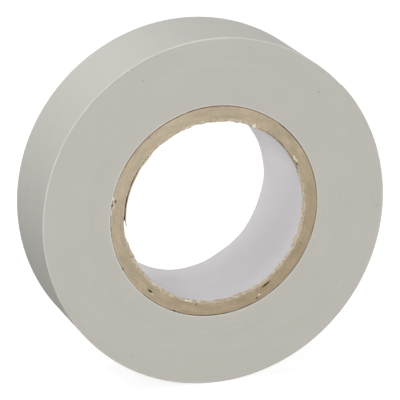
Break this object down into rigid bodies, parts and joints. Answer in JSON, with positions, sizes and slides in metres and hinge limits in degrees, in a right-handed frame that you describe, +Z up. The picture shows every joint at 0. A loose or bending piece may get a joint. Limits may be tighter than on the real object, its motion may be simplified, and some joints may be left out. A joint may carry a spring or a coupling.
{
  "type": "roll of electrical tape",
  "caption": "Full roll of light grey PVC electrical tape on a paperboard core, standing on its rim, with a free end that peels off.",
  "frame": {"origin": "on the ground, under the middle of the roll, which stands on its rim", "axes": "+Y along the roll's axis, from the pictured side face to the other; +Z up; +X to the right as seen from the pictured side"},
  "size_m": [0.0725, 0.019, 0.0719],
  "materials": {
    "tape_pvc": "satin",
    "core_board": "matte",
    "liner_paper": "matte"
  },
  "bodies": {
    "roll": {"core_liner": "liner_paper", "core_ply_1": "core_board", "core_ply_2": "core_board", "core_ply_3": "core_board", "core_ply_4": "core_board", "tape_pack": "tape_pvc", "tape_outer_turn": "tape_pvc"},
    "tape_end": {"tape_end": "tape_pvc"}
  },
  "joints": [
    {"name": "tape_end_peel", "type": "hinge", "parent": "roll", "child": "tape_end", "pos_m": [0.03615, 0, 0.03861], "axis": [0, 1, 0], "range_deg": [0, 150]}
  ]
}
